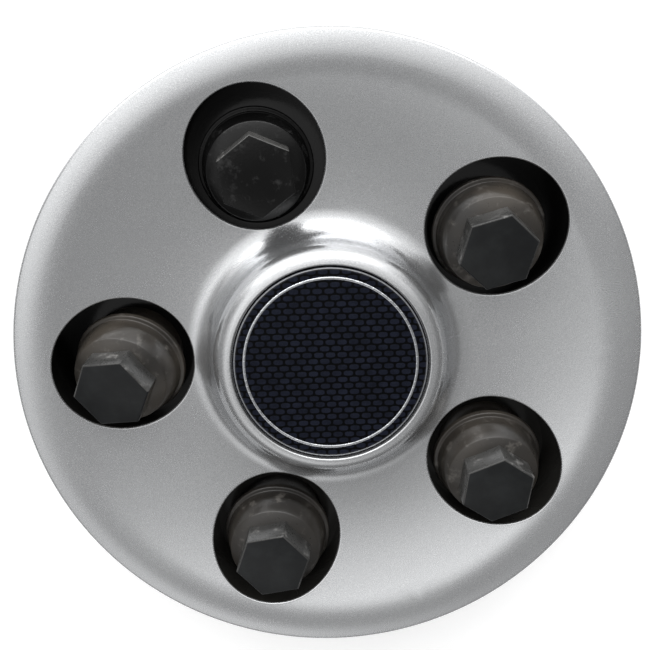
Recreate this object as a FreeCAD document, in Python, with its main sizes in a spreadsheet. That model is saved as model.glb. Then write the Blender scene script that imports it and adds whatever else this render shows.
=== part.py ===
# A wheel centre cap: a moulded plastic cap with a bowl-shaped face, a raised centre boss that
# carries a round medallion, and five deep lug wells, each holding a loose hexagonal lug cover.
# Millimetres. The cap lies on its back edge at z = 0, its axis is +Z and its face looks up.

import FreeCAD
import Part
import Sketcher
import math
import os

from FreeCAD import Placement, Rotation, Vector

os.makedirs("parts", exist_ok=True)
doc = FreeCAD.newDocument("wheel_center_cap")

SIZES = {
    # Lug circle and wells: every radius of the cap follows from these
    "lug_count": "5",
    "lug_circle_radius": "57.5",
    "first_well_angle": "111",
    "well_radius": "18.7",
    "well_wall": "2",
    "well_outer_radius": "=well_radius + well_wall",
    "well_edge_round": "0.5",
    "floor_height": "13.4",
    "floor_depth": "1.8",
    "floor_under_height": "=floor_height - floor_depth",
    "floor_ledge": "4.6",
    "floor_hole_radius": "=well_radius - floor_ledge",
    # Cap: side wall, rim and bowl
    "rim_width": "10",
    "boss_clear": "5.1",
    "boss_foot_radius": "=lug_circle_radius - well_radius - boss_clear",
    "cap_radius": "=lug_circle_radius + well_radius + rim_width",
    "wall": "2.5",
    "bowl_radius": "104",
    "bowl_low_offset": "0.7",
    "bowl_low_radius": "=boss_foot_radius + bowl_low_offset",
    "bowl_low_height": "22.6",
    "bowl_centre_height": "=bowl_low_height + bowl_radius",
    "rim_land": "7.4",
    "rim_fall": "0.95",
    "rim_round": "19",
    "edge_round": "1.2",
    "rim_corner_radius": "=cap_radius - rim_land",
    "rim_corner_reach": "=rim_corner_radius - bowl_low_radius",
    "rim_corner_height": "=bowl_centre_height - sqrt(bowl_radius ^ 2 - rim_corner_reach ^ 2)",
    "rim_height": "=rim_corner_height - rim_fall",
    # Cap: centre boss and the seat of the medallion
    "boss_foot_round": "5.4",
    "boss_taper": "2.5",
    "boss_rise": "14.2",
    "lip_radius": "=boss_foot_radius - boss_taper",
    "lip_height": "=bowl_low_height + boss_rise",
    "lip_width": "4.5",
    "lip_round": "3.8",
    "lip_inner_round": "0.4",
    "lip_stand": "0.75",
    "seat_radius": "=lip_radius - lip_width",
    # Medallion: flat disc with a rounded edge and a thin raised ring
    "seat_gap": "0.2",
    "medallion_radius": "=seat_radius - seat_gap",
    "medallion_depth": "2.15",
    "seat_height": "=lip_height - lip_stand - medallion_depth",
    "medallion_round": "1",
    "ring_inset": "3.25",
    "ring_radius": "=medallion_radius - ring_inset",
    "ring_width": "0.8",
    "ring_stand": "0.2",
    "ring_height": "=medallion_depth + ring_stand",
    "ring_outer_radius": "=ring_radius + ring_width / 2",
    "ring_inner_radius": "=ring_radius - ring_width / 2",
    # Cap: the hollow behind the face
    "hollow_radius": "=cap_radius - wall",
    "hollow_rim_height": "=rim_height - wall",
    "hollow_corner_inset": "3",
    "hollow_corner_radius": "=rim_corner_radius - hollow_corner_inset",
    "hollow_bowl_radius": "=bowl_radius + wall",
    "hollow_foot_radius": "=boss_foot_radius - wall",
    "hollow_top_radius": "=lip_radius - wall",
    "hollow_height": "=seat_height - wall",
    # Lug cover: radii from the well and its floor hole, heights from the mouth of the thread
    "skirt_gap": "1.7",
    "skirt_radius": "=floor_hole_radius - skirt_gap",
    "bead_catch": "1.1",
    "bead_radius": "=floor_hole_radius + bead_catch",
    "bead_lead": "1.8",
    "bead_lead_radius": "=bead_radius - bead_lead",
    "bead_lead_height": "1",
    "bead_height": "1.8",
    "flange_gap": "2.8",
    "flange_radius": "=well_radius - flange_gap",
    "flange_depth": "1.6",
    "flange_height": "15.4",
    "flange_under_height": "=flange_height - flange_depth",
    "step_inset": "1.3",
    "step_radius": "=flange_radius - step_inset",
    "step_rise": "3.6",
    "step_height": "=flange_height + step_rise",
    "collar_inset": "1.55",
    "collar_radius": "=step_radius - collar_inset",
    "collar_rise": "8.6",
    "collar_height": "=flange_height + collar_rise",
    "hex_inset": "3.7",
    "hex_flats": "=2 * (collar_radius - hex_inset)",
    "hex_corner_radius": "=hex_flats / 2 / cos(30)",
    "ledge_inset": "0.95",
    "ledge_radius": "=hex_flats / 2 - ledge_inset",
    "ledge_rise": "0.9",
    "ledge_height": "=collar_height + ledge_rise",
    "hex_rise": "16",
    "hex_height": "=flange_height + hex_rise",
    "hex_bevel": "0.45",
    "flange_round": "0.4",
    "step_round": "1.4",
    "skirt_wall": "1.8",
    "thread_radius": "=skirt_radius - skirt_wall",
    "thread_depth": "21",
    "hex_side_wall": "1.95",
    "nut_tip_radius": "=hex_flats / 2 - hex_side_wall",
    "hex_face_wall": "2.4",
    "nut_tip_height": "=hex_height - hex_face_wall",
    # Lug covers in their wells: hanging low, as loose covers do
    "cover_lift": "6.5",
    "cover_seat_height": "=floor_height + cover_lift",
    "cover_shift_x": "-0.15",
    "cover_shift_y": "-1.9",
}

# Each cover leans and turns by its own amount: lean, direction of the lean, turn (degrees).
COVERS = {
    1: ("12", "289", "39"),
    2: ("15.5", "259", "19"),
    3: ("12.5", "263", "27"),
    4: ("8", "253", "13"),
    5: ("16", "248", "8"),
}

sheet = doc.addObject("Spreadsheet::Sheet", "Sizes")


def put(row, alias, value):
    sheet.set(f"A{row}", alias)
    sheet.setAlias(f"B{row}", alias)
    sheet.set(f"B{row}", value)


for row, (alias, value) in enumerate(SIZES.items(), start=1):
    put(row, alias, value)
for number, values in COVERS.items():
    for offset, alias in enumerate(("cover_lean", "cover_lean_way", "cover_turn")):
        put(200 + 3 * number + offset, f"{alias}_{number}", values[offset])
doc.recompute()


def size(alias):
    return float(sheet.get(alias))


def origin_plane(body, role):
    return next(f for f in body.Origin.OriginFeatures if f.Role == role)


def new_sketch(body, role, name):
    sketch = body.newObject("Sketcher::SketchObject", name)
    sketch.AttachmentSupport = (origin_plane(body, role), [""])
    sketch.MapMode = "FlatFace"
    return sketch


def bind(sketch, constraint, alias):
    index = sketch.addConstraint(constraint)
    sketch.setExpression(f"Constraints[{index}]", f"Sizes.{alias}")


def bowl_point(radius, arc_radius):
    return size("bowl_centre_height") - math.sqrt(arc_radius**2 - (radius - size("bowl_low_radius")) ** 2)


def profile(sketch, corners, bowl=None):
    """Closed loop through (radius, height) corners named by alias; None is the axis or the base.

    A bowl is (segment, arc alias): that segment becomes an arc about the bowl's centre, running
    from the outer corner to the inner one, and the height of both follows from the arc.
    """
    count = len(corners)
    starts = [2 if bowl and index == bowl[0] else 1 for index in range(count)]
    on_bowl = {bowl[0], (bowl[0] + 1) % count} if bowl else set()
    points = []
    for index, (radius, height) in enumerate(corners):
        x = size(radius) if radius else 0.0
        if index in on_bowl:
            y = bowl_point(x, size(bowl[1]))
        else:
            y = size(height) if height else 0.0
        points.append(Vector(x, y, 0))
    for index in range(count):
        start = points[index]
        end = points[(index + 1) % count]
        if bowl and index == bowl[0]:
            centre = Vector(size("bowl_low_radius"), size("bowl_centre_height"), 0)
            circle = Part.Circle(centre, Vector(0, 0, 1), size(bowl[1]))
            low = math.atan2(end.y - centre.y, end.x - centre.x)
            high = math.atan2(start.y - centre.y, start.x - centre.x)
            sketch.addGeometry(Part.ArcOfCircle(circle, low, high))
        else:
            sketch.addGeometry(Part.LineSegment(start, end))
    for index in range(count):
        following = (index + 1) % count
        join = (index, 3 - starts[index], following, starts[following])
        sketch.addConstraint(Sketcher.Constraint("Coincident", *join))
    for index, (radius, height) in enumerate(corners):
        spot = (index, starts[index])
        if radius:
            bind(sketch, Sketcher.Constraint("DistanceX", -1, 1, *spot, points[index].x), radius)
        else:
            sketch.addConstraint(Sketcher.Constraint("PointOnObject", *spot, -2))
        if index in on_bowl:
            continue
        if height:
            bind(sketch, Sketcher.Constraint("DistanceY", -1, 1, *spot, points[index].y), height)
        else:
            sketch.addConstraint(Sketcher.Constraint("PointOnObject", *spot, -1))
    if bowl:
        arc, centre = bowl[0], sketch.Geometry[bowl[0]].Center
        bind(sketch, Sketcher.Constraint("DistanceX", -1, 1, arc, 3, centre.x), "bowl_low_radius")
        bind(sketch, Sketcher.Constraint("DistanceY", -1, 1, arc, 3, centre.y), "bowl_centre_height")
        bind(sketch, Sketcher.Constraint("Radius", arc, size(bowl[1])), bowl[1])


def revolve(body, name, corners, bowl=None, cut=False):
    sketch = new_sketch(body, "XZ_Plane", f"{name}_profile")
    profile(sketch, corners, bowl)
    feature = body.newObject("PartDesign::Groove" if cut else "PartDesign::Revolution", name)
    feature.Profile = sketch
    feature.ReferenceAxis = (sketch, ["V_Axis"])
    feature.Angle = 360
    doc.recompute()
    return feature


def ring_edge(feature, radius, height):
    """Name of the circular edge of a revolved feature with this radius and height."""
    for index, edge in enumerate(feature.Shape.Edges, start=1):
        curve = edge.Curve
        if isinstance(curve, Part.Circle) and abs(curve.Radius - radius) < 0.01:
            if abs(curve.Center.z - height) < 0.01:
                return f"Edge{index}"
    raise ValueError(f"no edge at radius {radius:.2f}, height {height:.2f}")


def fillet(body, name, base, edges, alias):
    feature = body.newObject("PartDesign::Fillet", name)
    feature.Base = (base, edges)
    feature.setExpression("Radius", f"Sizes.{alias}")
    doc.recompute()
    return feature


def well_pocket(body, name, height, radius, upwards):
    """Round pocket on the lug circle at the first well, cut upwards or downwards from a height."""
    sketch = new_sketch(body, "XY_Plane", f"{name}_circle")
    sketch.AttachmentOffset = Placement(Vector(0, 0, size(height)), Rotation(Vector(0, 0, 1), 1))
    sketch.setExpression("AttachmentOffset.Base.z", f"Sizes.{height}")
    sketch.setExpression("AttachmentOffset.Rotation.Angle", "Sizes.first_well_angle")
    centre = Vector(size("lug_circle_radius"), 0, 0)
    sketch.addGeometry(Part.Circle(centre, Vector(0, 0, 1), size(radius)))
    sketch.addConstraint(Sketcher.Constraint("PointOnObject", 0, 3, -1))
    bind(sketch, Sketcher.Constraint("DistanceX", -1, 1, 0, 3, centre.x), "lug_circle_radius")
    bind(sketch, Sketcher.Constraint("Radius", 0, size(radius)), radius)
    pocket = body.newObject("PartDesign::Pocket", name)
    pocket.Profile = sketch
    pocket.Type = "ThroughAll"
    pocket.Reversed = upwards
    doc.recompute()
    return pocket


def all_wells(body, name, pockets):
    pattern = body.newObject("PartDesign::PolarPattern", name)
    pattern.Originals = pockets
    pattern.Axis = (pockets[0].Profile[0], ["N_Axis"])
    pattern.Angle = 360
    pattern.setExpression("Occurrences", "Sizes.lug_count")
    body.Tip = pattern
    doc.recompute()
    return pattern


# The hollow behind the face: everything the cap's wall does not fill, less the tubes of the wells.
hollow = doc.addObject("PartDesign::Body", "hollow")
revolve(
    hollow,
    "hollow_shape",
    [
        (None, "hollow_height"),
        (None, None),
        ("hollow_radius", None),
        ("hollow_radius", "hollow_rim_height"),
        ("hollow_corner_radius", None),
        ("hollow_foot_radius", None),
        ("hollow_top_radius", "hollow_height"),
    ],
    bowl=(4, "hollow_bowl_radius"),
)
tube_space = well_pocket(hollow, "tube_space", "floor_under_height", "well_outer_radius", True)
all_wells(hollow, "tube_spaces", [tube_space])

# The cap: side wall, rounded rim, bowl, boss and the seat of the medallion, turned in one.
cap = doc.addObject("PartDesign::Body", "cap_body")
cap.Label = "cap_body"
turned = revolve(
    cap,
    "turned_shape",
    [
        (None, None),
        ("cap_radius", None),
        ("cap_radius", "rim_height"),
        ("rim_corner_radius", None),
        ("boss_foot_radius", None),
        ("lip_radius", "lip_height"),
        ("seat_radius", "lip_height"),
        ("seat_radius", "seat_height"),
        (None, "seat_height"),
    ],
    bowl=(3, "bowl_radius"),
)
edge = ring_edge(turned, size("cap_radius"), size("rim_height"))
edged = fillet(cap, "outer_edge", turned, [edge], "edge_round")
crest_height = bowl_point(size("rim_corner_radius"), size("bowl_radius"))
crest = ring_edge(edged, size("rim_corner_radius"), crest_height)
rolled = fillet(cap, "rounded_rim", edged, [crest], "rim_round")
foot_height = bowl_point(size("boss_foot_radius"), size("bowl_radius"))
foot = ring_edge(rolled, size("boss_foot_radius"), foot_height)
footed = fillet(cap, "boss_foot", rolled, [foot], "boss_foot_round")
lip = ring_edge(footed, size("lip_radius"), size("lip_height"))
lipped = fillet(cap, "lip_outside", footed, [lip], "lip_round")
lip = ring_edge(lipped, size("seat_radius"), size("lip_height"))
lipped = fillet(cap, "lip_inside", lipped, [lip], "lip_inner_round")

shell = cap.newObject("PartDesign::Boolean", "shell")
shell.Type = "Cut"
shell.setObjects([hollow])
doc.recompute()

well = well_pocket(cap, "well", "floor_height", "well_radius", True)
floor_hole = well_pocket(cap, "floor_hole", "floor_height", "floor_hole_radius", False)
wells = all_wells(cap, "wells", [well, floor_hole])


def well_angle(index):
    return math.radians(size("first_well_angle") - index * 360 / size("lug_count"))


def is_well_mouth(edge):
    """Whether an edge is where a well breaks through the bowl."""
    spots = edge.discretize(7)
    low = min(p.z for p in spots)
    if isinstance(edge.Curve, Part.Line) or low < size("floor_height") + 1:
        return False
    for index in range(int(size("lug_count"))):
        x = size("lug_circle_radius") * math.cos(well_angle(index))
        y = size("lug_circle_radius") * math.sin(well_angle(index))
        off = max(abs(math.hypot(p.x - x, p.y - y) - size("well_radius")) for p in spots)
        if off < 0.01:
            return max(p.z for p in spots) - low > 1e-3
    return False


mouths = [f"Edge{n}" for n, edge in enumerate(wells.Shape.Edges, start=1) if is_well_mouth(edge)]
fillet(cap, "well_edges", wells, mouths, "well_edge_round")

# The medallion, lying on the floor of its seat.
medallion = doc.addObject("PartDesign::Body", "medallion")
medallion.Label = "medallion"
disc = revolve(
    medallion,
    "medallion_shape",
    [
        (None, None),
        ("medallion_radius", None),
        ("medallion_radius", "medallion_depth"),
        ("ring_outer_radius", "medallion_depth"),
        ("ring_outer_radius", "ring_height"),
        ("ring_inner_radius", "ring_height"),
        ("ring_inner_radius", "medallion_depth"),
        (None, "medallion_depth"),
    ],
)
brim = ring_edge(disc, size("medallion_radius"), size("medallion_depth"))
fillet(medallion, "medallion_edge", disc, [brim], "medallion_round")
medallion.setExpression("Placement.Base.z", "Sizes.seat_height")


def lug_cover(number):
    """Lug cover: threaded skirt with a snap bead, flange, stepped collar and a hexagon."""
    body = doc.addObject("PartDesign::Body", f"lug_cover_{number}")
    body.Label = f"lug_cover_{number}"
    turned = revolve(
        body,
        f"cover_shape_{number}",
        [
            (None, None),
            ("bead_lead_radius", None),
            ("bead_radius", "bead_lead_height"),
            ("bead_radius", "bead_height"),
            ("skirt_radius", "bead_height"),
            ("skirt_radius", "flange_under_height"),
            ("flange_radius", "flange_under_height"),
            ("flange_radius", "flange_height"),
            ("step_radius", "flange_height"),
            ("step_radius", "step_height"),
            ("collar_radius", "collar_height"),
            ("ledge_radius", "ledge_height"),
            (None, "ledge_height"),
        ],
    )
    edge = ring_edge(turned, size("flange_radius"), size("flange_height"))
    turned = fillet(body, f"flange_edge_{number}", turned, [edge], "flange_round")
    edge = ring_edge(turned, size("step_radius"), size("step_height"))
    turned = fillet(body, f"step_edge_{number}", turned, [edge], "step_round")
    prism = body.newObject("PartDesign::AdditivePrism", f"hexagon_{number}")
    prism.AttachmentSupport = (origin_plane(body, "XY_Plane"), [""])
    prism.MapMode = "FlatFace"
    prism.Polygon = 6
    prism.AttachmentOffset = Placement(Vector(0, 0, size("step_height")), Rotation(Vector(0, 0, 1), 1))
    prism.setExpression("AttachmentOffset.Base.z", "Sizes.step_height")
    prism.setExpression("AttachmentOffset.Rotation.Angle", f"Sizes.cover_turn_{number}")
    prism.setExpression("Circumradius", "Sizes.hex_corner_radius")
    prism.setExpression("Height", "Sizes.hex_height - Sizes.step_height")
    doc.recompute()
    faces = list(enumerate(prism.Shape.Faces, start=1))
    top = next(n for n, face in faces if face.CenterOfMass.z > size("hex_height") - 0.01)
    bevel = body.newObject("PartDesign::Chamfer", f"hexagon_bevel_{number}")
    bevel.Base = (prism, [f"Face{top}"])
    bevel.setExpression("Size", "Sizes.hex_bevel")
    doc.recompute()
    revolve(
        body,
        f"bore_{number}",
        [
            (None, None),
            ("thread_radius", None),
            ("thread_radius", "thread_depth"),
            ("nut_tip_radius", "thread_depth"),
            ("nut_tip_radius", "nut_tip_height"),
            (None, "nut_tip_height"),
        ],
        cut=True,
    )
    lean = f"Sizes.cover_lean_{number}"
    way = f"Sizes.cover_lean_way_{number}"
    angle = f"(Sizes.first_well_angle - {number - 1} * 360 / Sizes.lug_count)"
    drop = f"Sizes.flange_height * sin({lean})"
    x = f"Sizes.lug_circle_radius * cos({angle}) + Sizes.cover_shift_x - {drop} * cos({way})"
    y = f"Sizes.lug_circle_radius * sin({angle}) + Sizes.cover_shift_y - {drop} * sin({way})"
    z = f"Sizes.cover_seat_height - Sizes.flange_height * cos({lean})"
    turn = f"rotation(vector(-sin({way}); cos({way}); 0); {lean})"
    body.setExpression("Placement", f"placement(vector({x}; {y}; {z}); {turn})")
    doc.recompute()
    return body


covers = [lug_cover(number) for number in COVERS]
doc.recompute()

for item in doc.Objects:
    if any(flag in item.State for flag in ("Invalid", "Error")):
        raise RuntimeError(f"{item.Name} did not build: {item.State}")
for body in [cap, medallion, *covers]:
    if body.Shape.isNull() or not body.Shape.isValid() or len(body.Shape.Solids) != 1:
        raise RuntimeError(f"{body.Label} is not one sound solid")
    body.Shape.exportStep(f"parts/{body.Label}.step")
    box = body.Shape.BoundBox
    print(f"{body.Label}: volume {body.Shape.Volume / 1000:.1f} cm3, z {box.ZMin:.2f} to {box.ZMax:.2f}")
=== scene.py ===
# %% [markdown]
# # A wheel centre cap
# This script dresses a wheel centre cap for a picture: a silver moulded cap with five deep wells,
# a black lug cover hanging loose in each well, and a round medallion on the centre boss.
# The solid shapes come from a CAD frame. Here each one gets a finer skin and a painted material.
# We start by loading the frame.

import math

import bmesh
import bpy
import numpy as np
from mathutils import Matrix, Vector


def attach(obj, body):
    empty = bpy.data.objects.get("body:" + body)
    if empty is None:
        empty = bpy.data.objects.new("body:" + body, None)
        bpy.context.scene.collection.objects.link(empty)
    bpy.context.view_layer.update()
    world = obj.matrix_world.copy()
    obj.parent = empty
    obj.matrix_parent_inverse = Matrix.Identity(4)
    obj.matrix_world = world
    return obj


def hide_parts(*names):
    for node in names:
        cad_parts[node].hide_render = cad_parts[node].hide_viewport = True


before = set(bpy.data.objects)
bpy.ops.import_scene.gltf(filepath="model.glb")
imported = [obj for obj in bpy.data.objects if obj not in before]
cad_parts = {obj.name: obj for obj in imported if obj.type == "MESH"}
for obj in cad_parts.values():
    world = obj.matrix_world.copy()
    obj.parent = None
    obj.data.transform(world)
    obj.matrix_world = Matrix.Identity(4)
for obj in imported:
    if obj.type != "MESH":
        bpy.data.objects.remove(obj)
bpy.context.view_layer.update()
print("frame loaded:", sorted(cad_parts))

# %% [markdown]
# Blender measures in metres, but a cap is easier to think about in millimetres.
# The cap's sizes below are in millimetres, and one factor turns finished points into metres. The lamp
# is placed in metres, and so are patterns in the materials, unless they divide by that factor.

# %% Sizes
MM = 0.001
CAP_R, WALL = 86.2, 2.5
RIM_LAND, RIM_FALL, RIM_ROUND, EDGE_ROUND, BACK_ROUND = 7.4, 0.95, 19.0, 1.2, 0.5
BOWL_R, BOWL_LOW_R, BOWL_LOW_Z = 104.0, 34.4, 22.6
FOOT_R, FOOT_ROUND = 33.7, 8.0
LIP_R, LIP_Z, LIP_ROUND, LIP_IN_ROUND = 31.2, 36.8, 5.35, 0.4
SEAT_R, SEAT_Z = 26.7, 33.9
LUGS, LUG_R, FIRST_ANGLE = 5, 57.5, 111.0
WELL_R, WELL_OUT_R, WELL_EDGE = 18.7, 20.7, 0.5
FLOOR_Z, FLOOR_UNDER_Z, FLOOR_HOLE_R = 13.4, 11.6, 14.1
MED_R, MED_DEPTH, MED_ROUND = 26.5, 2.15, 1.0
RING_R, RING_W, RING_UP = 23.25, 0.8, 0.2
INNER_R, OUTER_R = 38.2, LUG_R + WELL_R + 2.8  # between these lie the wells, on the face
BACK_INNER_R, BACK_OUTER_R = 36.0, 82.0  # the same on the back
STEP = 1.0  # degrees between two columns of a turned surface

BOWL_CENTRE = np.array([BOWL_LOW_R, BOWL_LOW_Z + BOWL_R])


def bowl_z(r, radius=BOWL_R):
    """Height of the bowl's arc at a distance r from the cap's axis."""
    return BOWL_CENTRE[1] - np.sqrt(radius**2 - (r - BOWL_LOW_R) ** 2)


print("bowl is lowest at", round(float(bowl_z(BOWL_LOW_R)), 2), "mm")

# %% [markdown]
# Most surfaces of the cap are *turned*: a profile of (radius, height) points swept round the axis.
# A grid of points joined into quads is all a turned surface needs, so we write that once.
# Every grid is told which way is outside, and flips its faces if they look the other way.


# %% Grids of points
class Skin:
    """Collects grids of points, in millimetres, and makes one mesh of them."""

    def __init__(self):
        self.points, self.faces, self.count = [], [], 0

    def grid(self, points, closed, outside):
        """points is rows x columns x 3; outside gives a direction at each face centre."""
        rows, cols = points.shape[:2]
        ids = np.arange(rows * cols).reshape(rows, cols)
        right = np.roll(ids, -1, axis=1) if closed else ids[:, 1:]
        left = ids if closed else ids[:, :-1]
        quads = np.stack([left[:-1], right[:-1], right[1:], left[1:]], -1).reshape(-1, 4)
        flat = points.reshape(-1, 3)
        a, b, c, d = (flat[quads[:, k]] for k in range(4))
        normal = np.cross(c - a, d - b)
        if (normal * outside((a + b + c + d) / 4)).sum() < 0:
            quads = quads[:, ::-1]
        self.points.append(flat)
        self.faces.append(quads + self.count)
        self.count += len(flat)

    def object(self, name):
        mesh = bpy.data.meshes.new(name)
        mesh.from_pydata(np.vstack(self.points) * MM, [], np.vstack(self.faces).tolist())
        mesh.validate()
        item = bpy.data.objects.new(name, mesh)
        bpy.context.scene.collection.objects.link(item)
        return item


def up(p):
    return np.tile([0.0, 0.0, 1.0], (len(p), 1))


def down(p):
    return -up(p)


def from_axis(x=0.0, y=0.0):
    return lambda p: np.stack([p[:, 0] - x, p[:, 1] - y, 0 * p[:, 0]], 1)


def to_axis(x=0.0, y=0.0):
    return lambda p: -from_axis(x, y)(p)


def turn(profile, step=STEP, start=FIRST_ANGLE):
    """Sweep (radius, height) points round the Z axis."""
    angles = np.radians(start + np.arange(0, 360, step))
    r, z = np.asarray(profile, float).T
    return np.stack(
        [r[:, None] * np.cos(angles), r[:, None] * np.sin(angles), np.repeat(z[:, None], len(angles), 1)], -1
    )


def arc(centre, radius, start, end, count=12):
    """Points on a circle, angles in degrees."""
    angles = np.radians(np.linspace(start, end, count))
    return [(centre[0] + radius * math.cos(a), centre[1] + radius * math.sin(a)) for a in angles]


def run(start, end, count):
    """Points on a straight line."""
    return [tuple(p) for p in np.linspace(start, end, count)]


# %% [markdown]
# ## The cap's face
# The rim rounds off the bowl: one wide circle touches the bowl and the sloping land outside it, and
# a small one touches the land and the side wall. The foot of the boss is a circle that touches the
# bowl and the boss's sloping side. All centres follow from the sizes.

# %% Profile of the turned face
corner = np.array([CAP_R - RIM_LAND, float(bowl_z(CAP_R - RIM_LAND))])
edge = np.array([CAP_R, corner[1] - RIM_FALL])
land = (edge - corner) / np.linalg.norm(edge - corner)
over = np.array([-land[1], land[0]])
start = corner - RIM_ROUND * over - BOWL_CENTRE
half = start @ land
along = -half + math.sqrt(half**2 - start @ start + (BOWL_R + RIM_ROUND) ** 2)
rim_centre = corner - RIM_ROUND * over + along * land
to_bowl = BOWL_CENTRE - rim_centre
RIM_R = float(rim_centre[0] + RIM_ROUND * to_bowl[0] / np.linalg.norm(to_bowl))
rim_start = math.degrees(math.acos((OUTER_R - rim_centre[0]) / RIM_ROUND))
rim_end = math.degrees(math.atan2(over[1], over[0]))
edge_centre = (CAP_R - EDGE_ROUND, edge[1] + (EDGE_ROUND * over[0] - EDGE_ROUND) / over[1])
foot = np.array([FOOT_R, float(bowl_z(FOOT_R))])
side = np.array([LIP_R, LIP_Z]) - foot
side /= np.linalg.norm(side)
out = np.array([side[1], -side[0]])
start = foot + FOOT_ROUND * out - BOWL_CENTRE
half = start @ side
along = -half - math.sqrt(half**2 - start @ start + (BOWL_R - FOOT_ROUND) ** 2)
foot_centre = foot + FOOT_ROUND * out + along * side
foot_side = math.degrees(math.atan2(-out[1], -out[0]))
to_bowl = foot_centre - BOWL_CENTRE
FOOT_END_R = float(foot_centre[0] + FOOT_ROUND * to_bowl[0] / np.linalg.norm(to_bowl))
foot_cut = 360 - math.degrees(math.acos((INNER_R - foot_centre[0]) / FOOT_ROUND))

lean = math.degrees(math.atan2(out[1], out[0]))
gap = LIP_ROUND * math.tan(math.radians((90 - lean) / 2))
lip_centre = (LIP_R - gap, LIP_Z - LIP_ROUND)
boss = [(0.0, SEAT_Z)]
boss += run((SEAT_R, SEAT_Z), (SEAT_R, LIP_Z - LIP_IN_ROUND), 4)
boss += arc((SEAT_R + LIP_IN_ROUND, LIP_Z - LIP_IN_ROUND), LIP_IN_ROUND, 180, 90, 6)
lip_start = math.degrees(math.acos((SEAT_R + LIP_IN_ROUND - lip_centre[0]) / LIP_ROUND))
boss += arc(lip_centre, LIP_ROUND, lip_start, lean, 20)
boss += arc(foot_centre, FOOT_ROUND, foot_side % 360, foot_cut, 20)
rim = arc(rim_centre, RIM_ROUND, rim_start, rim_end, 24) + arc(edge_centre, EDGE_ROUND, rim_end, 0, 10)
rim += run((CAP_R, edge_centre[1]), (CAP_R, BACK_ROUND + 0.1), 12)[1:]
rim += arc((CAP_R - BACK_ROUND, BACK_ROUND), BACK_ROUND, 0, -90, 4)
print("rim starts at", round(RIM_R, 2), "mm; edge is", round(float(edge_centre[1]), 2), "mm high")

# %% [markdown]
# Between the boss and the rounded rim lie the five wells. One fifth of the bowl, with one hole, is
# meshed from the hole outwards: every point on the border of the fifth is joined to the hole by a
# straight row of points. Geometry Nodes will repeat the fifth five times.

# %% One fifth of the bowl and one well


def border(inner, outer, columns=72, rows=30):
    """Points round the edge of one well's sector of the cap, in its own plane, well on +X."""
    half_sector = 180 / LUGS
    angles = np.radians(np.linspace(-half_sector, half_sector, columns + 1))
    radii = np.linspace(inner, outer, rows + 1)
    loop = [(inner * math.cos(a), inner * math.sin(a)) for a in angles[::-1]]
    loop += [(r * math.cos(angles[0]), r * math.sin(angles[0])) for r in radii[1:]]
    loop += [(outer * math.cos(a), outer * math.sin(a)) for a in angles[1:]]
    loop += [(r * math.cos(angles[-1]), r * math.sin(angles[-1])) for r in radii[-2:0:-1]]
    return np.array(loop)


def fifth(inner, outer, hole, height, rows=16):
    """Grid from a round hole on the lug circle to the sector's border, on a turned surface."""
    edge = border(inner, outer)
    ray = edge - [LUG_R, 0]
    angle = np.arctan2(ray[:, 1], ray[:, 0])
    ring = np.stack([LUG_R + hole * np.cos(angle), hole * np.sin(angle)], 1)
    mix = np.linspace(0, 1, rows)[:, None, None] ** 1.5
    flat = ring * (1 - mix) + edge * mix
    return np.dstack([flat, height(np.hypot(flat[..., 0], flat[..., 1]))]), angle


def around(angle, radius, z):
    """A ring of points about the well's axis."""
    z = np.broadcast_to(z, angle.shape)
    return np.stack([LUG_R + radius * np.cos(angle), radius * np.sin(angle), z], 1)


def face_z(r):
    """Height of the face: the end of the boss's foot, the bowl, then the start of the rounded rim."""
    rounded = rim_centre[1] + np.sqrt(np.maximum(RIM_ROUND**2 - (r - rim_centre[0]) ** 2, 0))
    foot_z = foot_centre[1] - np.sqrt(np.maximum(FOOT_ROUND**2 - (r - foot_centre[0]) ** 2, 0))
    return np.where(r < FOOT_END_R, foot_z, np.where(r < RIM_R, bowl_z(r), rounded))


face_fifth = Skin()
bowl_grid, angle = fifth(INNER_R, OUTER_R, WELL_R + WELL_EDGE, face_z)
face_fifth.grid(bowl_grid, True, up)
brim = bowl_grid[0, :, 2]
bends = np.radians(np.linspace(0, 90, 7))
edge_rows = [(WELL_R + WELL_EDGE * (1 - math.sin(b)), brim - WELL_EDGE * (1 - math.cos(b))) for b in bends]
edge_grid = np.stack([around(angle, radius, z) for radius, z in edge_rows])
face_fifth.grid(edge_grid, True, up)

well_fifth = Skin()
wall_rows = [(brim - WELL_EDGE) * (1 - k) + FLOOR_Z * k for k in np.linspace(0, 1, 14)]
wall_grid = np.stack([around(angle, WELL_R, z) for z in wall_rows])
well_fifth.grid(wall_grid, True, to_axis(LUG_R))
well_fifth.grid(np.stack([around(angle, WELL_R, FLOOR_Z), around(angle, FLOOR_HOLE_R, FLOOR_Z)]), True, up)
hole_grid = np.stack([around(angle, FLOOR_HOLE_R, FLOOR_Z), around(angle, FLOOR_HOLE_R, FLOOR_UNDER_Z)])
well_fifth.grid(hole_grid, True, to_axis(LUG_R))
under = np.stack([around(angle, FLOOR_HOLE_R, FLOOR_UNDER_Z), around(angle, WELL_OUT_R, FLOOR_UNDER_Z)])
well_fifth.grid(under, True, down)
hollow_r, hollow_edge_z, back_corner_r = CAP_R - WALL, float(edge[1]) - WALL, CAP_R - RIM_LAND - 3.0


def back_z(r):
    """Height of the cap's inner face: the bowl, then a straight run to the side wall."""
    low = bowl_z(back_corner_r, BOWL_R + WALL)
    run_up = low + (hollow_edge_z - low) * (r - back_corner_r) / (hollow_r - back_corner_r)
    return np.where(r < back_corner_r, bowl_z(r, BOWL_R + WALL), run_up)


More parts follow.
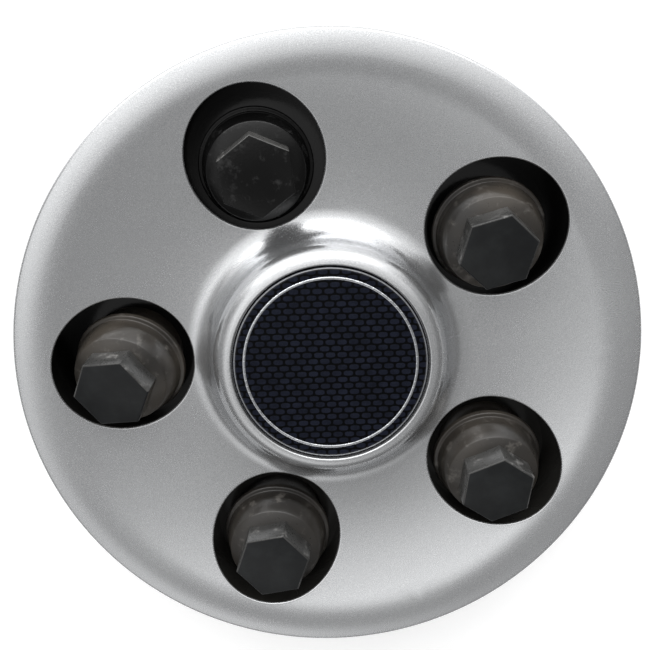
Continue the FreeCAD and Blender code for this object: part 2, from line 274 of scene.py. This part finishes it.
back_grid, back_angle = fifth(BACK_INNER_R, BACK_OUTER_R, WELL_OUT_R, back_z)
well_fifth.grid(back_grid, True, down)
tube_rows = [back_grid[0, :, 2] * (1 - k) + FLOOR_UNDER_Z * k for k in (0, 0.5, 1)]
tube = np.stack([around(back_angle, WELL_OUT_R, z) for z in tube_rows])
well_fifth.grid(tube, True, from_axis(LUG_R))
print("one fifth of the face has", len(face_fifth.faces[0]), "faces in its bowl")

# %% [markdown]
# The rest of the cap is turned in one go: the boss and the rim in front, and the inside of the side
# wall, the back of the bowl's border and the hollow under the boss behind.

# %% The turned surfaces of the cap
face_turned = Skin()
face_turned.grid(turn(boss), True, lambda p: up(p) + 0.5 * from_axis()(p) / 40)
face_turned.grid(turn(rim), True, lambda p: up(p) + from_axis()(p) / 40)

hollow_foot, hollow_top, hollow_z = FOOT_R - WALL, LIP_R - WALL, SEAT_Z - WALL
back_turned = Skin()
back_turned.grid(turn([(CAP_R - BACK_ROUND, 0.0), (hollow_r, 0.0)]), True, down)
back_rim = [(r, float(back_z(r))) for r in np.linspace(BACK_OUTER_R, hollow_r, 4)]
back_turned.grid(turn(run((hollow_r, 0.0), back_rim[-1], 10)), True, to_axis())
back_turned.grid(turn(back_rim), True, down)
back_boss = [(r, float(bowl_z(r, BOWL_R + WALL))) for r in np.linspace(BACK_INNER_R, hollow_foot, 5)]
back_turned.grid(turn(back_boss), True, down)
back_turned.grid(turn(run(back_boss[-1], (hollow_top, hollow_z), 6)), True, to_axis())
back_turned.grid(turn([(hollow_top, hollow_z), (0.0, hollow_z)]), True, down)
print("turned face:", face_turned.count, "points; turned back:", back_turned.count, "points")

# %% [markdown]
# ## Materials
# Shader maths reads better as sums than as boxes and wires. The small class below wraps a socket,
# so that `a * 2 + b` adds the nodes for us. Everything else goes through its `node` method.


# %% A socket that can be calculated with
class Socket:
    def __init__(self, tree, socket):
        self.tree, self.socket = tree, socket

    def node(self, kind, settings=None, **inputs):
        """Add a node, set its options and inputs, and return it."""
        made = self.tree.nodes.new(kind)
        for key, value in (settings or {}).items():
            setattr(made, key, value)
        for key, value in inputs.items():
            target = made.inputs[int(key[1:])] if key[0] == "i" and key[1:].isdigit() else made.inputs[key]
            if isinstance(value, Socket):
                self.tree.links.new(value.socket, target)
            else:
                target.default_value = value
        return made

    def get(self, made, output=0):
        return Socket(self.tree, made.outputs[output])

    def math(self, operation, *values):
        inputs = {f"i{k}": v for k, v in enumerate(values)}
        return self.get(self.node("ShaderNodeMath", {"operation": operation}, **inputs))

    def __add__(self, other):
        return self.math("ADD", self, other)

    def __radd__(self, other):
        return self.math("ADD", other, self)

    def __sub__(self, other):
        return self.math("SUBTRACT", self, other)

    def __rsub__(self, other):
        return self.math("SUBTRACT", other, self)

    def __mul__(self, other):
        return self.math("MULTIPLY", self, other)

    def __rmul__(self, other):
        return self.math("MULTIPLY", other, self)

    def __truediv__(self, other):
        return self.math("DIVIDE", self, other)

    def __pow__(self, other):
        return self.math("POWER", self, other)

    def floor(self):
        return self.math("FLOOR", self)

    def absolute(self):
        return self.math("ABSOLUTE", self)

    def step(self, low, high):
        """Smooth 0 to 1 as the value goes from low to high."""
        made = self.node("ShaderNodeMapRange", {"interpolation_type": "SMOOTHSTEP"}, Value=self)
        made.inputs["From Min"].default_value = low
        made.inputs["From Max"].default_value = high
        return self.get(made)

    def mix(self, a, b):
        """Colour a where this is 0, colour b where it is 1."""
        made = self.node("ShaderNodeMix", {"data_type": "RGBA"}, i0=self)
        for index, value in ((6, a), (7, b)):
            if isinstance(value, Socket):
                self.tree.links.new(value.socket, made.inputs[index])
            else:
                made.inputs[index].default_value = (*value, 1.0)
        return self.get(made, 2)


def new_material(name, **constants):
    """Material with a Principled shader; returns it, its shader and its Object coordinates."""
    material = bpy.data.materials.new(name)
    material.use_nodes = True
    tree = material.node_tree
    shader = tree.nodes["Principled BSDF"]
    for key, value in constants.items():
        shader.inputs[key.replace("_", " ")].default_value = value
    place = Socket(tree, tree.nodes.new("ShaderNodeTexCoord").outputs["Object"])
    return material, shader, place


def noise(place, scale, detail=2.0, roughness=0.5):
    grain = dict(Scale=scale, Detail=detail, Roughness=roughness)
    return place.get(place.node("ShaderNodeTexNoise", None, Vector=place, **grain))


def xyz(place):
    made = place.node("ShaderNodeSeparateXYZ", None, Vector=place)
    return [place.get(made, k) for k in range(3)]


def connect(value, shader, name):
    value.tree.links.new(value.socket, shader.inputs[name])


def bump(height, strength, distance):
    made = height.node("ShaderNodeBump", None, Strength=strength, Distance=distance, Height=height)
    return height.get(made)


# %% [markdown]
# The paint is a satin silver with metal flakes. Fine noise makes each flake a little lighter or
# darker and tilts it a little; broad noise keeps the coat from looking even.

# %% Silver flake paint
silver, shader, place = new_material("silver_flake_paint", Metallic=0.85)
flake = noise(place, 3600.0, 1.0)
spark = noise(place, 5200.0, 0.0)
cloud = noise(place, 28.0, 3.0)
bright = flake.step(0.30, 0.72)
glint = spark.step(0.7, 0.84)
tone = bright * 0.7 + cloud * 0.3
base = tone.mix((0.52, 0.528, 0.538), (0.665, 0.672, 0.682))
base = (glint * 0.6).mix(base, (0.98, 0.98, 0.98))
connect(base, shader, "Base Color")
connect(0.2 + cloud * 0.05 + bright * 0.05, shader, "Roughness")
connect(bump(flake, 0.06, 0.0003), shader, "Normal")

# %% [markdown]
# The plastic under the paint is black and glossy in the wells, with a faint moulding grain; below the
# centre of the cap it turns a little lighter, in blotches.

# %% Black plastic of the cap
black, shader, place = new_material("black_cap_plastic", Specular_IOR_Level=0.27)
grain = noise(place, 900.0, 2.0)
cloud = noise(place, 60.0, 3.0)
# Lighter in blotches below the centre of the cap.
low = 1.0 - xyz(place)[1].step(-0.04, 0.0)
base = cloud.step(0.3, 0.75).mix((0.003, 0.003, 0.003), (0.006, 0.006, 0.006))
connect((low * (0.4 + cloud)).mix(base, (0.024, 0.023, 0.021)), shader, "Base Color")
connect(0.06 + grain * 0.06 + cloud * 0.1, shader, "Roughness")
connect(bump(grain, 0.05, 0.0002), shader, "Normal")

# %% [markdown]
# The lug covers are the same plastic, faded to a brownish black. The sides of each hexagon turned towards the
# light are a lighter copy of it with scuffs, painted light. Its flat face is a deeper black, and its bevels
# turned away from the light take that black as painted shade. Below the centre the covers show less of the
# pale tone, a painted shade, and the cover at the top left is fresh.


# %% Plastic of the lug covers
def cover_plastic(name, dark, pale, worn_and_lit, specular, rough):
    """Plastic between two tones, the pale one cut back below the centre as painted shade, with scuffs of a
    third.
    """
    material, shader, place = new_material(name, Specular_IOR_Level=specular)
    grain = noise(place, 1400.0, 2.0)
    scuff = noise(place, 260.0, 4.0, 0.7)
    dust = noise(place, 45.0, 3.0)
    # Painted shade: below the cap's centre the pale tone is cut to about a third.
    painted_light_side = 0.35 + 0.65 * xyz(place)[1].step(-0.035, -0.01)
    base = (dust.step(0.3, 0.7) * painted_light_side).mix(dark, pale)
    base = (scuff.step(0.54, 0.74) * 0.7).mix(base, worn_and_lit)
    connect(base, shader, "Base Color")
    connect(rough + grain * 0.1 + scuff * 0.16, shader, "Roughness")
    connect(bump(grain + scuff * 0.6, 0.1, 0.0003), shader, "Normal")
    return material


faded = cover_plastic(
    "faded_plastic",
    dark=(0.02, 0.0185, 0.017),
    pale=(0.066, 0.057, 0.047),
    worn_and_lit=(0.14, 0.13, 0.118),
    specular=0.5,
    rough=0.18,
)
fresh = cover_plastic(
    "fresh_plastic",
    dark=(0.003, 0.003, 0.003),
    pale=(0.007, 0.007, 0.007),
    worn_and_lit=(0.045, 0.045, 0.045),
    specular=0.26,
    rough=0.03,
)
# A lighter copy of the plastic for hexagon sides turned towards the light: painted light, with scuffs.
worn_and_lit = cover_plastic(
    "worn_and_lit_plastic",
    dark=(0.03, 0.03, 0.029),
    pale=(0.09, 0.089, 0.086),
    worn_and_lit=(0.26, 0.254, 0.247),
    specular=0.5,
    rough=0.16,
)

# %% Face of the hexagon, also painted shade on its bevels turned from the light
hex_black, shader, place = new_material("hexagon_face_and_shade", Specular_IOR_Level=0.32)
grain = noise(place, 1400.0, 2.0)
stain = noise(place, 150.0, 4.0, 0.6)
connect(stain.step(0.35, 0.75).mix((0.0058, 0.0065, 0.0072), (0.013, 0.0145, 0.0152)), shader, "Base Color")
connect(0.26 + grain * 0.12 + stain * 0.1, shader, "Roughness")
connect(bump(grain, 0.05, 0.0003), shader, "Normal")

# %% [markdown]
# The medallion is black with a woven look: rows of short rounded dashes, each row shifted by half a
# dash, and the whole weave a little askew. A thin ring is bright metal; a faint metal line along the
# rounded edge is a painted highlight.

# %% Medallion
weave_face, shader, place = new_material("medallion_weave", Specular_IOR_Level=0.075, Coat_Roughness=0.06)
x, y = (c / MM for c in xyz(place)[:2])
radius = (x**2.0 + y**2.0) ** 0.5
PITCH, ROWS, LONG, HIGH, ASKEW = 3.12, 1.72, 1.28, 0.68, math.radians(2.1)
x, y = x * math.cos(ASKEW) + y * math.sin(ASKEW), y * math.cos(ASKEW) - x * math.sin(ASKEW)
row = (y / ROWS).floor()
shift = row.math("MODULO", row.absolute(), 2.0) * 0.5
u = x / PITCH + shift
u = (u - u.floor() - 0.5) * PITCH
v = (y / ROWS - row - 0.5) * ROWS
dash = (u / LONG).absolute() ** 3.0 + (v / HIGH).absolute() ** 3.0
thread = 1.0 - dash.step(0.7, 1.15)
fray = noise(place, 1500.0, 2.0)
sheen = noise(place, 320.0, 1.0)
weave = (thread * (0.1 + fray * 0.4 + sheen)).mix((0.0012, 0.0014, 0.0019), (0.011, 0.0132, 0.023))
ring = 1.0 - (radius - RING_R).absolute().step(0.3, 0.38)
# Painted highlight: a faint metal line standing in for the light caught by the rounded edge.
edge_highlight = 1.0 - (radius - (MED_R - 0.6)).absolute().step(0.1, 0.22)
ring_and_edge_highlight = ring + 0.45 * edge_highlight
base = ring_and_edge_highlight.mix(weave, (0.6, 0.615, 0.64))
connect(base, shader, "Base Color")
connect(ring_and_edge_highlight, shader, "Metallic")
connect(radius.step(MED_R - 1.2, MED_R - 0.9), shader, "Coat Weight")
connect(0.24 + fray * 0.06 - ring_and_edge_highlight * 0.14, shader, "Roughness")
connect(bump(thread, 0.25, 0.0002), shader, "Normal")
print("materials:", [m.name for m in (silver, black, faded, fresh, worn_and_lit, hex_black, weave_face)])

# %% [markdown]
# ## Repeating the fifth
# The Geometry Nodes tree below takes a mesh, copies it round the Z axis, joins the copies along
# their borders and gives them a material. The result is then turned into a plain mesh.


# %% Geometry Nodes: copies round the axis
def round_tree():
    tree = bpy.data.node_groups.new("copies_round_axis", "GeometryNodeTree")
    face = tree.interface
    face.new_socket("Geometry", in_out="INPUT", socket_type="NodeSocketGeometry")
    face.new_socket("Count", in_out="INPUT", socket_type="NodeSocketInt")
    face.new_socket("First Angle", in_out="INPUT", socket_type="NodeSocketFloat")
    face.new_socket("Weld", in_out="INPUT", socket_type="NodeSocketFloat")
    face.new_socket("Material", in_out="INPUT", socket_type="NodeSocketMaterial")
    face.new_socket("Geometry", in_out="OUTPUT", socket_type="NodeSocketGeometry")
    add, link = tree.nodes.new, tree.links.new
    given, result = add("NodeGroupInput"), add("NodeGroupOutput")
    points = add("GeometryNodePoints")
    link(given.outputs["Count"], points.inputs["Count"])
    index = add("GeometryNodeInputIndex")
    part = add("ShaderNodeMath")
    part.operation = "DIVIDE"
    part.inputs[0].default_value = math.tau
    link(given.outputs["Count"], part.inputs[1])
    angle = add("ShaderNodeMath")
    angle.operation = "MULTIPLY_ADD"
    link(index.outputs[0], angle.inputs[0])
    link(part.outputs[0], angle.inputs[1])
    link(given.outputs["First Angle"], angle.inputs[2])
    vector = add("ShaderNodeCombineXYZ")
    link(angle.outputs[0], vector.inputs["Z"])
    rotation = add("FunctionNodeEulerToRotation")
    link(vector.outputs[0], rotation.inputs[0])
    copies = add("GeometryNodeInstanceOnPoints")
    link(points.outputs[0], copies.inputs["Points"])
    link(given.outputs["Geometry"], copies.inputs["Instance"])
    link(rotation.outputs[0], copies.inputs["Rotation"])
    real = add("GeometryNodeRealizeInstances")
    link(copies.outputs[0], real.inputs[0])
    weld = add("GeometryNodeMergeByDistance")
    link(real.outputs[0], weld.inputs["Geometry"])
    link(given.outputs["Weld"], weld.inputs["Distance"])
    paint = add("GeometryNodeSetMaterial")
    link(weld.outputs[0], paint.inputs["Geometry"])
    link(given.outputs["Material"], paint.inputs["Material"])
    link(paint.outputs[0], result.inputs[0])
    return tree


ROUND = round_tree()
WELD, JOIN, SLIVER = 0.01, 0.004, 0.002  # points closer than these become one


def repeat(item, material):
    """Replace an object's mesh by its copies round the axis."""
    modifier = item.modifiers.new("copies", "NODES")
    modifier.node_group = ROUND
    first = math.radians(FIRST_ANGLE)
    values = {"Count": LUGS, "First Angle": first, "Weld": WELD * MM, "Material": material}
    for socket in ROUND.interface.items_tree:
        if socket.in_out == "INPUT" and socket.name in values:
            modifier[socket.identifier] = values[socket.name]
    seen = item.evaluated_get(bpy.context.evaluated_depsgraph_get())
    mesh = bpy.data.meshes.new_from_object(seen)
    item.modifiers.clear()
    item.data = mesh
    return item


def merge(items, name, material, sharp=35.0):
    """Join meshes into one smooth piece with sharp edges where surfaces meet at an angle."""
    work = bmesh.new()
    for item in items:
        work.from_mesh(item.data)
        bpy.data.objects.remove(item)
    bmesh.ops.remove_doubles(work, verts=work.verts, dist=JOIN * MM)
    bmesh.ops.dissolve_degenerate(work, dist=SLIVER * MM, edges=work.edges)
    mesh = bpy.data.meshes.new(name)
    work.to_mesh(mesh)
    work.free()
    mesh.materials.clear()
    mesh.materials.append(material)
    mesh.shade_smooth()
    mesh.set_sharp_from_angle(angle=math.radians(sharp))
    item = bpy.data.objects.new(name, mesh)
    bpy.context.scene.collection.objects.link(item)
    return item


five_faces = repeat(face_fifth.object("face_fifth"), silver)
five_wells = repeat(well_fifth.object("well_fifth"), black)
face = merge([five_faces, face_turned.object("face_turned")], "cap_face", silver)
wells = merge([five_wells, back_turned.object("back_turned")], "cap_wells", black)
for piece in (face, wells):
    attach(piece, "cap")
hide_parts("cap_body")
print("cap face:", len(face.data.polygons), "faces; wells and back:", len(wells.data.polygons), "faces")

# %% [markdown]
# ## The medallion
# A turned disc with a rounded ring and a rounded edge, lying in its seat.

# %% Medallion disc
top = SEAT_Z + MED_DEPTH
disc = [(0.0, SEAT_Z), (MED_R, SEAT_Z)]
disc += arc((MED_R - MED_ROUND, top - MED_ROUND), MED_ROUND, 0, 90, 12)
ring_turn = np.linspace(0, math.pi, 11)
disc += [(RING_R + RING_W / 2 * math.cos(a), top + RING_UP * math.sin(a)) for a in ring_turn]
disc += [(r, top) for r in np.linspace(RING_R - RING_W / 2, 0.0, 8)[1:]]
disc_skin = Skin()
disc_skin.grid(turn(disc, 1.5), True, up)
medallion = merge([disc_skin.object("disc")], "medallion_disc", weave_face)
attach(medallion, "cap")
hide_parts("medallion")
print("medallion:", len(medallion.data.polygons), "faces")

# %% [markdown]
# ## Lug covers
# One cover is built standing on the mouth of its thread, then placed five times. Each copy leans in
# its own direction and has its own turn, as loose covers do. The thread is a turned surface whose
# radius rises and falls along a helix.

# %% One lug cover
SKIRT_R, BEAD_R, BEAD_LEAD_R, BEAD_LEAD_Z, BEAD_Z = 12.4, 15.2, 13.4, 1.0, 1.8
FLANGE_R, FLANGE_LOW_Z, FLANGE_Z, FLANGE_ROUND = 15.9, 13.8, 15.4, 0.4
STEP_R, STEP_Z, STEP_SOFT, STEP_FILLET = 14.6, 19.0, 0.7, 0.35
COLLAR_R, COLLAR_Z = 13.05, 24.0
LEDGE_R, LEDGE_Z = 8.4, 24.9
HEX_FLATS, HEX_Z, HEX_BEVEL, HEX_CORNER = 18.7, 31.4, 0.45, 0.3
THREAD_R, THREAD_Z, THREAD_PITCH, THREAD_DEEP = 10.6, 21.0, 1.5, 0.55
THREAD_START, THREAD_END = 0.8, THREAD_Z - 0.5
TIP_R, TIP_Z, MOUTH_R = 7.4, 29.0, THREAD_R + 0.6

outer = [(MOUTH_R, 0.0), (BEAD_LEAD_R, 0.0), (BEAD_R, BEAD_LEAD_Z), (BEAD_R, BEAD_Z), (SKIRT_R, BEAD_Z)]
outer += [(SKIRT_R, FLANGE_LOW_Z), (FLANGE_R, FLANGE_LOW_Z), (FLANGE_R, FLANGE_Z - FLANGE_ROUND)]
outer += arc((FLANGE_R - FLANGE_ROUND, FLANGE_Z - FLANGE_ROUND), FLANGE_ROUND, 0, 90, 5)
outer += arc((STEP_R + STEP_FILLET, FLANGE_Z + STEP_FILLET), STEP_FILLET, 270, 180, 5)
outer += [(STEP_R, STEP_Z - STEP_SOFT)]
slope = np.array([COLLAR_R - STEP_R, COLLAR_Z - STEP_Z])
step_end = np.array([STEP_R, STEP_Z]) + slope * 0.3
bend = np.array([(STEP_R, STEP_Z - STEP_SOFT), (STEP_R, STEP_Z), step_end])
for k in np.linspace(0, 1, 7)[1:]:
    shares = np.array([(1 - k) ** 2, 2 * k * (1 - k), k**2])
    outer.append(tuple(shares @ bend))
outer += [(COLLAR_R + 0.1, COLLAR_Z - 0.3), (COLLAR_R - 0.2, COLLAR_Z), (LEDGE_R, LEDGE_Z)]


def cover_skin():
    skin = Skin()
    skin.grid(turn(outer, 2.5), True, lambda p: from_axis()(p) + 6 * up(p) * (p[:, 2:] > 2))
    angles = np.radians(np.arange(0, 360, 5.0))
    rows = np.linspace(THREAD_START, THREAD_END, 90)
    wave = np.abs(((rows[:, None] / THREAD_PITCH - angles / math.tau) % 1.0) - 0.5) * 2
    r = THREAD_R + THREAD_DEEP * wave
    thread = np.stack([r * np.cos(angles), r * np.sin(angles), np.repeat(rows[:, None], len(angles), 1)], -1)
    skin.grid(thread, True, to_axis())
    root = THREAD_R + THREAD_DEEP
    skin.grid(turn([(MOUTH_R, 0.0), (root, THREAD_START)], 5.0, 0.0), True, to_axis())
    skin.grid(turn([(root, THREAD_END), (THREAD_R, THREAD_Z), (TIP_R, THREAD_Z)], 5.0, 0.0), True, down)
    skin.grid(turn(run((TIP_R, THREAD_Z), (TIP_R, TIP_Z), 4), 5.0, 0.0), True, to_axis())
    skin.grid(turn([(TIP_R, TIP_Z), (0.0, TIP_Z)], 5.0, 0.0), True, down)
    return skin


def hexagon(turned):
    """Hexagonal prism with softened edges; the turn is that of its first corner, in degrees."""
    work = bmesh.new()
    corner = HEX_FLATS / 2 / math.cos(math.pi / 6)
    ring = [math.radians(turned + 60 * k) for k in range(6)]
    corners = [(corner * math.cos(a) * MM, corner * math.sin(a) * MM) for a in ring]
    low = [work.verts.new((*c, COLLAR_Z * MM)) for c in corners]
    high = [work.verts.new((*c, HEX_Z * MM)) for c in corners]
    top_face = work.faces.new(high)
    for k in range(6):
        work.faces.new((low[k], low[(k + 1) % 6], high[(k + 1) % 6], high[k]))
    soften = dict(segments=3, profile=0.5, affect="EDGES")
    bmesh.ops.bevel(work, geom=list(top_face.edges), offset=HEX_BEVEL * MM, **soften)
    upright = [e for e in work.edges if abs(e.verts[0].co.z - e.verts[1].co.z) > 3 * MM]
    bmesh.ops.bevel(work, geom=upright, offset=HEX_CORNER * MM, **soften)
    mesh = bpy.data.meshes.new("hexagon")
    work.to_mesh(mesh)
    work.free()
    return bpy.data.objects.new("hexagon", mesh)


# %% Five covers in their wells
SEAT_HEIGHT, SHIFT_X, SHIFT_Y = 19.9, -0.15, -1.9
FRESH_COVER = 1
# For each cover: its lean, the direction it leans in and the turn of its hexagon, in degrees.
LEANS = {
    1: (12.0, 289.0, 39.0),
    2: (15.5, 259.0, 19.0),
    3: (12.5, 263.0, 27.0),
    4: (8.0, 253.0, 13.0),
    5: (16.0, 248.0, 8.0),
}
for number, (leaning, way, turned) in LEANS.items():
    well = math.radians(FIRST_ANGLE - (number - 1) * 360 / LUGS)
    w = math.radians(way)
    rotation = Matrix.Rotation(math.radians(leaning), 4, Vector((-math.sin(w), math.cos(w), 0)))
    centre = Vector((LUG_R * math.cos(well) + SHIFT_X, LUG_R * math.sin(well) + SHIFT_Y, SEAT_HEIGHT)) * MM
    place_cover = Matrix.Translation(centre) @ rotation @ Matrix.Translation((0, 0, -FLANGE_Z * MM))
    is_fresh = number == FRESH_COVER
    skins = [cover_skin().object("cover_round"), hexagon(turned)]
    cover = merge(skins, f"cover_{number}", fresh if is_fresh else faded)
    for material in (hex_black, worn_and_lit):
        cover.data.materials.append(material)
    # Slot 1 is for the hexagon's flat face and the bevels turned away from the light, there as painted shade;
    # slot 2 is for the sides turned towards the light, a lighter copy as painted light, with scuffs.
    for polygon in cover.data.polygons:
        height, facing = polygon.center.z / MM, polygon.normal
        if height > HEX_Z - HEX_BEVEL and (facing.z > 0.99 or facing.y < -0.1):
            polygon.material_index = 0 if is_fresh else 1
        elif height > LEDGE_Z + 0.05 and facing.y > (0.3 if is_fresh else -0.1):
            polygon.material_index = 2
    cover.data.transform(place_cover)
    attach(cover, f"lug_cover_{number}")
    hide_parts(f"lug_cover_{number}")
print("covers placed:", len(LEANS))

# %% [markdown]
# ## Floor, light and camera
# The cap lies on a plain white floor, which glows a little where it is looked at, so that it is white
# in the picture and still carries the cap's shadow.

# %% Floor
floor_mesh = bpy.data.meshes.new("floor")
FLOOR_SIZE, FLOOR_DROP = 4000, 0.05
floor_corners = [(-1, -1), (1, -1), (1, 1), (-1, 1)]
floor_points = [(a * FLOOR_SIZE * MM, b * FLOOR_SIZE * MM, -FLOOR_DROP * MM) for a, b in floor_corners]
floor_mesh.from_pydata(floor_points, [], [(0, 1, 2, 3)])
floor = bpy.data.objects.new("floor", floor_mesh)
bpy.context.scene.collection.objects.link(floor)
white, shader, place = new_material("floor_white", Roughness=0.9)
speck = noise(place, 30.0)
connect(speck.mix((0.9, 0.9, 0.9), (0.93, 0.93, 0.93)), shader, "Base Color")
path = place.node("ShaderNodeLightPath")
camera_ray, glossy_ray, through_ray = (
    place.get(path, name) for name in ("Is Camera Ray", "Is Glossy Ray", "Is Transmission Ray")
)
seen = camera_ray + glossy_ray + through_ray
connect(seen.mix((0.0, 0.0, 0.0), (0.33, 0.33, 0.33)), shader, "Emission Color")
shader.inputs["Emission Strength"].default_value = 1.0
floor_mesh.materials.append(white)

# %% [markdown]
# The room is painted on the world, as brightness by direction: a wide pale ceiling that gets brighter
# towards the top left of the picture, a window at the far side, a little light from the near side,
# and dimmer walls below and at the far left. A strip lamp over the far side draws the fine glints.

# %% World
world = bpy.data.worlds.new("studio")
bpy.context.scene.world = world
world.use_nodes = True
sky = world.node_tree
way = Socket(sky, sky.nodes.new("ShaderNodeTexCoord").outputs["Generated"])
x, y, z = xyz(way)
slant = y - 0.5 * x
ceiling = 0.325 + 0.68 * slant.step(-0.25, 0.13) + 0.45 * slant.step(0.1, 0.45)
walls = (0.45 + 0.55 * z.step(0.45, 0.65)) * (0.45 + 0.55 * x.step(-0.78, -0.58))
near = 0.35 * (0.0 - x - y).step(0.5, 0.9) * (1.0 - y.step(-0.45, -0.25)) + 0.28 * (1.0 - y.step(-0.78, -0.5))
window = (0.985 * y - 0.174 * x).step(0.42, 0.72) * z.step(0.0, 0.12)
room = ceiling * walls + near * z.step(0.36, 0.56) + 1.1 * window
background = sky.nodes["Background"]
sky.links.new(room.socket, background.inputs["Strength"])
background.inputs["Color"].default_value = (1.0, 1.0, 1.0, 1.0)


def strip_light(name, place_at, aim, length, width, power):
    light = bpy.data.lights.new(name, "AREA")
    light.shape, light.size, light.size_y, light.energy = "RECTANGLE", length, width, power
    item = bpy.data.objects.new(name, light)
    item.location = place_at
    item.rotation_euler = (Vector(aim) - Vector(place_at)).to_track_quat("-Z", "Y").to_euler()
    bpy.context.scene.collection.objects.link(item)


strip_light("key", place_at=(-0.15, 0.8, 0.55), aim=(0, 0, 0.02), length=1.3, width=0.12, power=3.0)

# %% [markdown]
# The camera is close, so near things look larger. Its turn, and its distance along its own directions
# from a point on the cap's axis, were measured from the photograph. The tilt turns the cap's directions
# into the camera's; the transpose turns them back.

# %% Camera
FROM_POINT, POINT_Z = (-1.460, 9.616, 188.339), 31.4
TILT_X, TILT_Y, TILT_Z = 0.201, 0.022, -0.013
camera_data = bpy.data.cameras.new("camera")
camera_data.sensor_width = 36.0
camera_data.lens = 38.02
camera_data.clip_start = 0.005
camera = bpy.data.objects.new("camera", camera_data)
bpy.context.scene.collection.objects.link(camera)
tilt = Matrix.Rotation(TILT_X, 3, "X") @ Matrix.Rotation(TILT_Y, 3, "Y") @ Matrix.Rotation(TILT_Z, 3, "Z")
turn_camera = tilt.transposed()
centre = turn_camera @ Vector(FROM_POINT) + Vector((0, 0, POINT_Z))
camera.matrix_world = Matrix.Translation(centre * MM) @ turn_camera.to_4x4()
bpy.context.scene.camera = camera
bpy.context.scene.view_settings.view_transform = "Standard"
print("camera at", [round(c, 1) for c in centre], "mm")
